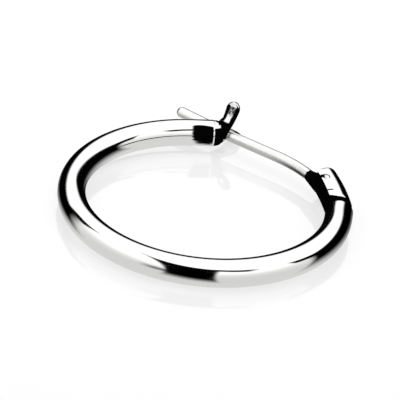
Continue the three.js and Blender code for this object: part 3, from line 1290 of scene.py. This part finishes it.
@dataclass(frozen=True)
class SaddleCatch:
    """The open V of strip that the wire lies in, and the root that carries it from the tube.

    Lengths are in millimetres and angles in degrees.

    Attributes:
        place: Where the wire's middle line crosses the valley, in the hoop's plane.
        heading: Which way the wire runs there.
        thickness: The strip's thickness.
        valley_radius: The radius of the room that the wire lies in.
        overlap: How far each leaf reaches past the middle of the valley, as an angle.
        upper: The upper leaf.
        lower: The lower leaf.
        ridge: A short, wider leaf on the upper one's foot that stiffens it.
        lower_base: A short leaf that stiffens the lower one's foot.
        root_heading: Which way the root runs from the tube's end face.
        root_length: How long it is.
        root_radii: Its radius at the tube and at its far end.
        root_outwards: How far short of the wire's middle it ends.
        shoulder_length: How long the shoulder that runs straight on from the tube is.
        shoulder_radii: Its radius at the tube and at its far end.
        taper_sides: How many sides root and shoulder have.
        taper_parts: In how many parts they are drawn out.
        taper_sunk: How far they start inside the tube.
        mouth: The size of the block that clears the mouth.
        mouth_gap: How much higher the mouth is than the valley, above and below.
        blank_parts: In how many parts a leaf's blank is cut, along it and across it.
        blunt: The narrowest that a leaf's tip gets, as a share of its half width.
        dome: How much thinner a leaf is at its edges.
        dome_power: How late across the leaf that thinning comes.
        voxel: The mesh size of the joined skin.
        rubbing: How many times the skin is rubbed down.
        rub: How far each rub goes.
        painted_dark: Where it is painted dark, as painted shade and painted dark reflections.
    """

    place: Point = (1.41, 9.362)
    heading: float = 144.5
    thickness: float = 0.42
    valley_radius: float = 0.45
    overlap: float = 4.0
    upper: Leaf = Leaf(1, 40.0, 2.24, 28.0, 0.5, 0.42, 0.57, 0.4, 0.56)
    lower: Leaf = Leaf(-1, 8.0, 2.2, -70.0, 0.2, 1.22, 1.05, 0.42, 0.66)
    ridge: Leaf = Leaf(1, 40.0, 0.9, 11.0, 0.5, 0.8, 0.72, 0.65, 0.42)
    lower_base: Leaf = Leaf(-1, 8.0, 0.3, -6.0, 0.5, 1.22, 1.22, 0.42, 0.42)
    root_heading: float = -28.0
    root_length: float = 0.95
    root_radii: Point = (0.96, 0.52)
    root_outwards: float = 0.3
    shoulder_length: float = 0.62
    shoulder_radii: Point = (0.965, 0.84)
    taper_sides: int = 64
    taper_parts: int = 12
    taper_sunk: float = 0.2
    mouth: float = 4.0
    mouth_gap: float = 0.015
    blank_parts: tuple[int, int] = (60, 24)
    blunt: float = 0.05
    dome: float = 0.5
    dome_power: int = 3
    voxel: float = 0.024
    rubbing: int = 22
    rub: float = 0.5
    painted_dark: CatchPaintedShadeAndReflection = CatchPaintedShadeAndReflection()

    @property
    def frame(self) -> Matrix:
        """Finds the catch's own frame.

        Returns:
            The matrix from it to the hoop's plane, with X outwards, Y up and Z back along the wire.
        """
        ahead = Vector((*along((0.0, 0.0), self.heading, 1.0), 0.0))
        up = Vector((0, 0, 1))
        basis = Matrix((ahead.cross(up), up, -ahead)).transposed().to_4x4()
        return Matrix.Translation((*self.place, 0.0)) @ basis

    def recess(self, place: Vector, normal: Vector) -> float:
        """How dark a place in the catch's frame with a normal in the hoop's plane is painted, as painted
        shade and dark reflections, 0 to 1.
        """
        on_root = self.painted_dark.on_root(place, normal, self.valley_radius)
        return max(on_root, self.painted_dark.on_leaves(place, self.upper))

    def strip_path(self, leaf: Leaf) -> BentPath:
        """Lays out the middle of a leaf's strip, seen along the wire.

        Args:
            leaf: The leaf.

        Returns:
            The path round the valley and up the leaf's arm.
        """
        middle = self.valley_radius + self.thickness / 2
        start = leaf.side * self.overlap
        bend = 90.0 - leaf.side * leaf.slope + self.overlap
        place = (-middle * math.cos(math.radians(start)), -middle * math.sin(math.radians(start)))
        legs = (Leg(middle * math.radians(bend), -leaf.side * bend),
                Leg(leaf.length / 2, leaf.turn * leaf.share),
                Leg(leaf.length / 2, leaf.turn * (1.0 - leaf.share)))
        return BentPath(place, leaf.side * 90.0 + start, legs)

    def build(self, material: bpy.types.Material, tube: HoopTube, wire: "EarWire") -> bpy.types.Object:
        """Joins leaves and root, clears the wire's way and rubs the whole casting smooth.

        Args:
            material: The catch's finish.
            tube: The tube that it grows from.
            wire: The wire that lies in it.

        Returns:
            The finished catch.
        """
        root = self.taper(tube, self.root_heading, self.root_length, self.root_radii)
        catch = object_from(root, "saddle_catch")
        outer_side = block((self.mouth, self.mouth, 2 * self.mouth),
                           (self.mouth / 2 - self.root_outwards, self.valley_radius - self.mouth / 2, 0.0))
        move_all(outer_side, self.frame)
        combine(catch, outer_side, "DIFFERENCE")
        shells = [self.plate(leaf) for leaf in (self.upper, self.lower, self.ridge, self.lower_base)]
        for shell in shells:
            move_all(shell, self.frame)
        shells.append(self.taper(tube, tube.catch_angle - 90.0, self.shoulder_length, self.shoulder_radii))
        add_shells(catch, shells)
        remesh(catch, self.voxel)
        for cutter in self.cutters(wire):
            combine(catch, cutter, "DIFFERENCE")
        remesh(catch, self.voxel)
        relax(catch, self.rubbing, self.rub)
        back = self.frame.inverted()
        return dress(catch, material, HOOP_FITTING, Edges.SOFT, plain_grain,
                     lambda place, normal: self.recess(back @ place, normal))

    def cutters(self, wire: "EarWire") -> tuple[BMesh, BMesh]:
        """Shapes what has to be cut away for the wire.

        Args:
            wire: The wire.

        Returns:
            The room that it lies in, and the mouth that it swings out of.
        """
        height = 2 * (self.valley_radius + self.mouth_gap)
        mouth = block((self.mouth, height, 2 * self.mouth), (self.mouth / 2, 0.0, 0.0))
        move_all(mouth, self.frame)
        return wire.way(self.valley_radius), mouth

    def plate(self, leaf: Leaf) -> BMesh:
        """Bends a flat blank along a leaf's strip and gives it the leaf's outline.

        Args:
            leaf: The leaf.

        Returns:
            The closed leaf in the catch's frame.
        """
        path = self.strip_path(leaf)
        reach = path.length
        shoulder = reach - leaf.tip_half
        blank = block((2.0, 2.0, 1.0), (0.0, 0.0, 0.0))
        for axis, parts in enumerate(self.blank_parts):
            slice_evenly(blank, axis, -1.0, 1.0, parts)
        for vert in blank.verts:
            travel = (vert.co.x + 1.0) / 2 * reach
            part = min(travel / shoulder, 1.0)
            half = leaf.base_half + (leaf.tip_half - leaf.base_half) * part
            past = max(travel - shoulder, 0.0) / leaf.tip_half
            half *= math.sqrt(max(1.0 - past * past, self.blunt ** 2))
            across = leaf.base + (leaf.tip - leaf.base) * part + vert.co.y * half
            middle, heading = path.at(travel)
            thickness = self.thickness * (1.0 - self.dome * abs(vert.co.y) ** self.dome_power)
            vert.co = Vector((*along(middle, heading + 90.0, vert.co.z * thickness), -across))
        bmesh.ops.recalc_face_normals(blank, faces=blank.faces)
        return blank

    def taper(self, tube: HoopTube, heading: float, length: float, radii: Point) -> BMesh:
        """Draws out a blunt taper from the tube's end face.

        Args:
            tube: The tube it grows from.
            heading: Which way it runs, in degrees.
            length: Its length in millimetres.
            radii: Its radius at the tube and at its far end.

        Returns:
            The closed taper in the hoop's plane.
        """
        wide, narrow = radii
        bm = bmesh.new()
        bmesh.ops.create_circle(bm, cap_ends=True, segments=self.taper_sides, radius=wide)
        last = list(bm.faces)
        before = wide
        for step in range(1, self.taper_parts + 1):
            now = wide - (wide - narrow) * (step / self.taper_parts) ** 2
            last, verts = pull(bm, last, (0, 0, length / self.taper_parts))
            bmesh.ops.scale(bm, vec=(now / before, now / before, 1.0), verts=verts)
            before = now
        clean(bm)
        bmesh.ops.translate(bm, vec=(0, 0, -self.taper_sunk), verts=bm.verts)
        move_all(bm, plan_frame(tube.catch_end, heading) @ Matrix.Rotation(math.pi / 2, 4, "Y"))
        return bm


# ---------------------------------------------------------------------------------------------
# The ear wire


@dataclass(frozen=True)
class EarWire:
    """The thin round wire that goes through the ear, and the flat tongue on its hinge end.

    Lengths are in millimetres and angles in degrees. A pair gives where something starts and where
    it is full.

    Attributes:
        root: Where the round wire starts, in the hoop's plane.
        heading: Which way it starts.
        radius: Half its thickness.
        legs: The stretches that it is bent in.
        sides: How many sides it has.
        facet: The length of one facet along it.
        tip_flat: Half the width of the flat that is left on its rounded tip.
        tip_facets: How many facets the tip's rounding has.
        way_lead: How far before its last stretch the room in the catch starts.
        way_length: How long that room is.
        grain_turn: How far the grain's direction is turned from its start.
        grain_stretch: What lengths along it are multiplied by, which draws the drawing lines out.
        tongue_thickness: How thick the tongue is.
        tongue_heading: Which way it points.
        eye_radius: The radius of its eye.
        eye_sides: How many sides the eye has.
        eye_hole: Half the width of the hole in it.
        tongue_tip: Where the middle of its tip is from the rivet, along it and across it.
        tongue_tip_radius: The radius of that tip.
        tongue_tip_sides: How many sides the tip has.
        flat_angle: Faces that meet at less than this, in radians, become one.
        cut_length: How long the hole's cutter is.
        click_place: How far along the wire its small groove is.
        click_radius: The radius of that groove's section.
        click_depth: How deep it is.
        click_sides: How many sides its section has.
        underside_shade_slope: How far down the normals point where the painted shade on the underside starts,
            with up below 0.
        under: How dark that underside is painted, as painted shade.
        underside_shade_more: How much darker it is painted near the tongue.
        underside_shade_fade: How far from the tongue that extra painted shade fades.
        root_fade: How far from the tongue the painted shade at the wire's start fades.
    """

    root: Point = (7.238, 4.935)
    heading: float = 128.0
    radius: float = 0.4
    legs: tuple[Leg, ...] = (Leg(3.2, 19.5), Leg(3.2), Leg(1.6, -3.9), Leg(4.45))
    sides: int = 48
    facet: float = 0.5
    tip_flat: float = 0.03
    tip_facets: int = 10
    way_lead: float = 0.4
    way_length: float = 5.5
    grain_turn: float = 15.0
    grain_stretch: float = 0.05
    tongue_thickness: float = 0.66
    tongue_heading: float = 108.0
    eye_radius: float = 0.8
    eye_sides: int = 64
    eye_hole: float = 0.32
    tongue_tip: Point = (1.45, 0.66)
    tongue_tip_radius: float = 0.3
    tongue_tip_sides: int = 32
    flat_angle: float = 0.01
    cut_length: float = 4.0
    click_place: float = 8.4
    click_radius: float = 0.16
    click_depth: float = 0.06
    click_sides: int = 24
    underside_shade_slope: Point = (-0.5, -0.1)
    under: float = 0.46
    underside_shade_more: float = 0.12
    underside_shade_fade: Point = (0.5, 4.0)
    root_fade: Point = (0.1, 0.6)

    @property
    def path(self) -> BentPath:
        """The wire's centre line from the tongue to the tip."""
        return BentPath(self.root, self.heading, self.legs)

    def grain(self, place: Vector) -> Vector:
        """Drawing lines that run along the wire."""
        local = plan_frame(self.root, self.heading + self.grain_turn).inverted() @ place
        return Vector((local.y, local.z, local.x * self.grain_stretch))

    def recess(self, place: Vector, normal: Vector) -> float:
        """Paints shade on the wire's start at the tongue and on its underside.

        Args:
            place: A place on the wire, in the hoop's plane.
            normal: The normal there.

        Returns:
            How dark it is painted, 0 to 1.
        """
        gone = (place - Vector((*self.root, 0.0))).length
        # black is the painted shade at the tongue; dull is the painted shade on the underside, the dark
        # reflection of the table below, darker near the tongue.
        black = 1.0 - ease(gone, *self.root_fade)
        dull = self.under + self.underside_shade_more * (1.0 - ease(gone, *self.underside_shade_fade))
        return max(black, ease(-normal.z, *self.underside_shade_slope) * dull)

    def way(self, radius: float) -> BMesh:
        """Shapes the room that the wire lies in at the catch.

        Args:
            radius: The room's radius in millimetres.

        Returns:
            The closed rod that fills the room, in the hoop's plane.
        """
        start = sum(leg.length for leg in self.legs[:-1]) - self.way_lead
        place, heading = self.path.at(start)
        line = BentPath(place, heading, (Leg(self.way_length),))
        bm = bmesh.new()
        draw_section_along(bm, radius, HOLE_SIDES, line, self.facet)
        return bm

    def build(self, material: bpy.types.Material) -> bpy.types.Object:
        """Draws the wire, rounds its tip and turns the small groove where it clicks home.

        Args:
            material: The wire's finish.

        Returns:
            The finished wire.
        """
        bm = bmesh.new()
        draw_section_along(bm, self.radius, self.sides, self.path, self.facet)
        tip = Vector((*self.path.at(self.path.length)[0], 0.0))
        rim = min(end_loops(bm, self.sides), key=lambda loop: (loop[0].verts[0].co - tip).length)
        bevel(bm, rim, self.radius - self.tip_flat, self.tip_facets)
        clean(bm)
        wire = object_from(bm, "ear_wire_round")
        combine(wire, self.click_groove(), "DIFFERENCE")
        return dress(wire, material, WIRE_FITTING, Edges.CRISP, self.grain, self.recess)

    def click_groove(self) -> BMesh:
        """Shapes the ring that cuts the shallow groove round the wire.

        Returns:
            The closed ring in the hoop's plane.
        """
        off = self.radius + self.click_radius - self.click_depth
        bm = bmesh.new()
        bmesh.ops.create_circle(bm, cap_ends=False, segments=self.click_sides, radius=self.click_radius,
                                matrix=Matrix.Translation((0.0, off, 0.0)))
        bmesh.ops.spin(bm, geom=bm.verts[:] + bm.edges[:], cent=(0, 0, 0), axis=(1, 0, 0),
                       angle=math.tau, steps=HOLE_SIDES, use_merge=True, use_duplicate=False)
        clean(bm)
        move_all(bm, self.path.frame_at(self.click_place))
        return bm

    def build_tongue(self, material: bpy.types.Material, pin: Point) -> bpy.types.Object:
        """Shapes the eyed tongue and drills it for the rivet.

        Args:
            material: The tongue's finish.
            pin: Where the rivet goes, in the hoop's plane.

        Returns:
            The finished tongue.
        """
        bm = bmesh.new()
        rounds = ((self.eye_radius, self.eye_sides, (0.0, 0.0)),
                  (self.tongue_tip_radius, self.tongue_tip_sides, self.tongue_tip))
        for radius, sides, place in rounds:
            bmesh.ops.create_cone(bm, cap_ends=True, segments=sides, radius1=radius, radius2=radius,
                                  depth=self.tongue_thickness, matrix=Matrix.Translation((*place, 0.0)))
        hull = bmesh.ops.convex_hull(bm, input=bm.verts[:])
        inside = set(hull["geom_interior"]) | set(hull["geom_unused"])
        bmesh.ops.delete(bm, geom=[part for part in inside if isinstance(part, BMVert)], context="VERTS")
        bmesh.ops.dissolve_limit(bm, angle_limit=self.flat_angle, verts=bm.verts, edges=bm.edges)
        clean(bm)
        move_all(bm, plan_frame(pin, self.tongue_heading))
        tongue = object_from(bm, "ear_wire_tongue")
        hole = rod(self.eye_hole, self.cut_length, HOLE_SIDES)
        move_all(hole, Matrix.Translation((*pin, 0.0)))
        combine(tongue, hole, "DIFFERENCE")
        soften_edges(tongue)
        # The tongue is painted dark all over: painted shade where the ear hides it from the light above.
        return dress(tongue, material, WIRE_FITTING, Edges.CRISP, self.grain, all_dark)


# ---------------------------------------------------------------------------------------------
# The table, the light and the camera


@dataclass(frozen=True)
class DarkCard:
    """A dark card that stands round the earring, given as directions from it, in degrees.

    Attributes:
        left: Where its left edge is across the view, positive to the right.
        right: Where its right edge is.
        foot: Where its foot fades out and where it is fully dark, as elevations.
        head: Where its top starts to fade and where it is gone, as elevations.
        blur: How softly its left and right edges fade.
        slant: How far it rises for each degree to the right.
        dark: How much of the light it takes away.
    """

    left: float
    right: float
    foot: Point
    head: Point
    blur: Point
    slant: float = 0.0
    dark: float = 1.0


@dataclass(frozen=True)
class LightTent:
    """A white tent with dark cards behind the table and a dark opening for the camera.

    Attributes:
        white: How bright the tent's top is.
        side_grey: How bright its sides are at the table's level.
        side_rise: Between which elevations the sides get as bright as the top.
        table_grey: How bright the table looks from the earring.
        table_rise: Between which elevations the table gives way to the sides.
        rear_cards: The cards behind the table, placed by their bearing.
        front_cards: The cards on the camera's side, placed by how far aside they are.
    """

    white: float = 1.2
    side_grey: float = 0.78
    side_rise: Point = (2.0, 38.0)
    table_grey: float = 0.72
    table_rise: Point = (-12.0, 2.0)
    rear_cards: tuple[DarkCard, ...] = (
        DarkCard(-74.0, -10.0, (-44.0, -11.0), (20.0, 27.0), (9.0, 3.0)),
        DarkCard(-77.0, -54.0, (-16.0, -10.0), (5.6, 9.0), (2.5, 3.0), -0.52),
        DarkCard(-16.0, 18.0, (-46.0, -24.0), (16.0, 27.0), (3.0, 3.0)),
        DarkCard(13.0, 90.0, (-52.0, -8.0), (25.0, 31.0), (3.0, 5.0)),
        DarkCard(70.0, 103.0, (-32.0, -26.0), (-13.5, -10.5), (3.0, 2.0), 0.5),
    )
    front_cards: tuple[DarkCard, ...] = (
        DarkCard(-38.0, -20.0, (-16.0, -4.0), (4.0, 14.0), (8.0, 2.0), 0.0, 0.7),
        DarkCard(-23.0, 13.0, (-60.0, -18.0), (57.0, 61.0), (2.0, 2.0), -0.4),
        DarkCard(9.0, 34.0, (46.0, 51.0), (59.0, 61.0), (2.0, 5.0), -0.4),
    )

    def build(self) -> None:
        """Makes the world that the silver reflects. The camera itself sees plain white."""
        world = bpy.data.worlds.new("light_tent")
        world.use_nodes = True
        world.node_tree.nodes.clear()
        bpy.context.scene.world = world
        sheet = NodeSheet(world.node_tree)
        direction = sheet.add("ShaderNodeTexCoord").outputs["Generated"]
        x, y, z = sheet.add("ShaderNodeSeparateXYZ", {0: direction}).outputs
        bearing = sheet.math("DEGREES", sheet.math("ARCTAN2", x, y))
        aside = sheet.math("DEGREES", sheet.math("ARCSINE", x))
        elevation = sheet.math("DEGREES", sheet.math("ARCSINE", z))
        upper = sheet.ramp(elevation, *self.side_rise, self.side_grey, self.white)
        light = sheet.ramp(elevation, *self.table_rise, self.table_grey, upper)
        for card in self.rear_cards:
            light = self.hang(sheet, card, bearing, elevation, light)
        in_front = sheet.math("LESS_THAN", y, 0.0)
        for card in self.front_cards:
            light = self.hang(sheet, card, aside, elevation, light, in_front)
        is_camera = sheet.add("ShaderNodeLightPath").outputs["Is Camera Ray"]
        seen = sheet.add("ShaderNodeMix", {"Factor": is_camera, 2: light, 3: self.white},
                         data_type="FLOAT").outputs[0]
        background = sheet.add("ShaderNodeBackground", {"Color": (1, 1, 1, 1), "Strength": seen})
        sheet.add("ShaderNodeOutputWorld", {"Surface": background.outputs[0]})

    def hang(self, sheet: NodeSheet, card: DarkCard, across: Any, elevation: Any, light: Any,
             where: Any = 1.0) -> bpy.types.NodeSocket:
        """Darkens the light where a card hangs.

        Args:
            sheet: The world's node sheet.
            card: The card.
            across: The direction across the view, in degrees.
            elevation: The direction's elevation, in degrees.
            light: The light so far.
            where: 1 where the card may be seen at all.

        Returns:
            The light with the card in it.
        """
        left_blur, right_blur = card.blur
        level = sheet.math("SUBTRACT", elevation, sheet.math("MULTIPLY", across, card.slant))
        rise = sheet.ramp(across, card.left - left_blur, card.left + left_blur)
        fall = sheet.ramp(across, card.right - right_blur, card.right + right_blur, card.dark, 0.0)
        foot = sheet.ramp(level, *card.foot)
        head = sheet.ramp(level, *card.head, 1.0, 0.0)
        mask = sheet.math("MULTIPLY", sheet.math("MULTIPLY", rise, fall), sheet.math("MULTIPLY", foot, head))
        mask = sheet.math("MULTIPLY", mask, where)
        return sheet.math("MULTIPLY", light, sheet.math("SUBTRACT", 1.0, mask))


@dataclass(frozen=True)
class SoftBox:
    """A broad lamp overhead that lifts the table to white.

    Attributes:
        height: How high it hangs, in metres.
        size: The length of its sides, in metres.
        power: Its power in watts.
    """

    height: float = 0.6
    size: float = 0.5
    power: float = 1.0

    def build(self) -> bpy.types.Object:
        """Hangs the lamp. The silver doesn't mirror it, because the tent above is white already.

        Returns:
            The lamp.
        """
        lamp = bpy.data.lights.new("soft_box", "AREA")
        lamp.shape = "SQUARE"
        lamp.size = self.size
        lamp.energy = self.power
        made = bpy.data.objects.new("soft_box", lamp)
        made.location = (0.0, 0.0, self.height)
        made.visible_glossy = False
        bpy.context.scene.collection.objects.link(made)
        return made


@dataclass(frozen=True)
class Table:
    """The glossy white sheet that the earring lies on.

    Attributes:
        half_size: Half the length of its sides, in metres.
        white: How much light its surface scatters.
        glow: How much light comes through it from below.
        gloss: Its roughness where it is glossiest.
        dull: How many times rougher it is where it is dullest.
        ripples: How many such spots there are to a metre.
        ripple_edge: Between which values of its noise it gets duller.
        index: Its index of refraction.
    """

    half_size: float = 3.0
    white: float = 0.2
    glow: float = 0.69
    gloss: float = 0.06
    dull: float = 1.5
    ripples: float = 60.0
    ripple_edge: Point = (0.3, 0.7)
    index: float = 1.6

    def material(self) -> bpy.types.Material:
        """Makes white acrylic that is lit from below as well, with a very slightly uneven gloss.

        Returns:
            The finished material.
        """
        made = bpy.data.materials.new("white_acrylic")
        made.use_nodes = True
        made.node_tree.nodes.clear()
        sheet = NodeSheet(made.node_tree)
        place = sheet.add("ShaderNodeTexCoord").outputs["Object"]
        uneven = sheet.add("ShaderNodeTexNoise", {"Vector": place, "Scale": self.ripples, "Detail": 2.0})
        rough = sheet.ramp(uneven.outputs["Fac"], *self.ripple_edge, self.gloss, self.gloss * self.dull)
        surface = sheet.add("ShaderNodeBsdfPrincipled",
                            {"Base Color": (self.white, self.white, self.white, 1.0),
                             "Roughness": rough, "IOR": self.index,
                             "Emission Color": (1.0, 1.0, 1.0, 1.0), "Emission Strength": self.glow})
        sheet.add("ShaderNodeOutputMaterial", {"Surface": surface.outputs[0]})
        return made

    def build(self) -> bpy.types.Object:
        """Lays the sheet under the earring.

        Returns:
            The sheet.
        """
        bm = bmesh.new()
        bmesh.ops.create_grid(bm, x_segments=1, y_segments=1, size=self.half_size)
        table = object_from(bm, "table_top")
        table.data.materials.append(self.material())
        table.visible_glossy = False
        return table


@dataclass(frozen=True)
class Viewpoint:
    """The camera, placed from the hoop's centre in the hoop's own plane.

    Attributes:
        stand: Where it stands, in millimetres.
        elevation: How far down it looks, in degrees.
        roll: How far it is turned about its own line of sight, in degrees.
        lens: Its focal length in millimetres.
        sensor: Its sensor's width in millimetres.
        reach: The nearest and the farthest that it sees, in metres.
    """

    stand: tuple[float, float, float] = (-0.368, -136.51, 82.246)
    elevation: float = 31.103
    roll: float = 6.318
    lens: float = 204.48
    sensor: float = 36.0
    reach: Point = (0.01, 20.0)

    def build(self) -> bpy.types.Object:
        """Sets the camera up and makes it the scene's.

        Returns:
            The camera.
        """
        data = bpy.data.cameras.new("camera")
        data.lens = self.lens
        data.sensor_width = self.sensor
        data.clip_start, data.clip_end = self.reach
        camera = bpy.data.objects.new("camera", data)
        bpy.context.scene.collection.objects.link(camera)
        tip = Matrix.Rotation(math.radians(90.0 - self.elevation), 4, "X")
        turn = Matrix.Rotation(math.radians(self.roll), 4, "Z")
        lay = LAY @ Matrix.Scale(1.0 / MILLIMETRE, 4)
        camera.matrix_world = lay @ Matrix.Translation(Vector(self.stand) * MILLIMETRE) @ tip @ turn
        bpy.context.scene.camera = camera
        return camera


def set_exposure() -> None:
    """Shows white as white."""
    settings = bpy.context.scene.view_settings
    settings.view_transform = "Standard"
    settings.look = "None"
    settings.exposure = 0.0
    settings.gamma = 1.0


def main() -> None:
    """Builds the earring piece by piece, then the table, the light and the camera."""
    polishing_marks()
    darkened_silver()
    silver = HOOP_SILVER.material()
    wire_silver = WIRE_SILVER.material()
    rivet_silver = RIVET_SILVER.material()
    tube, housing, rivet = HoopTube(), HingeHousing(), Rivet()
    catch, wire = SaddleCatch(), EarWire()
    tube.build(silver, catch.cutters(wire))
    housing.build(silver, rivet.place)
    housing.build_neck(silver)
    rivet.build(rivet_silver)
    catch.build(silver, tube, wire)
    wire.build(wire_silver)
    wire.build_tongue(wire_silver, rivet.place)
    Table().build()
    LightTent().build()
    SoftBox().build()
    Viewpoint().build()
    set_exposure()


if __name__ == "__main__":
    main()
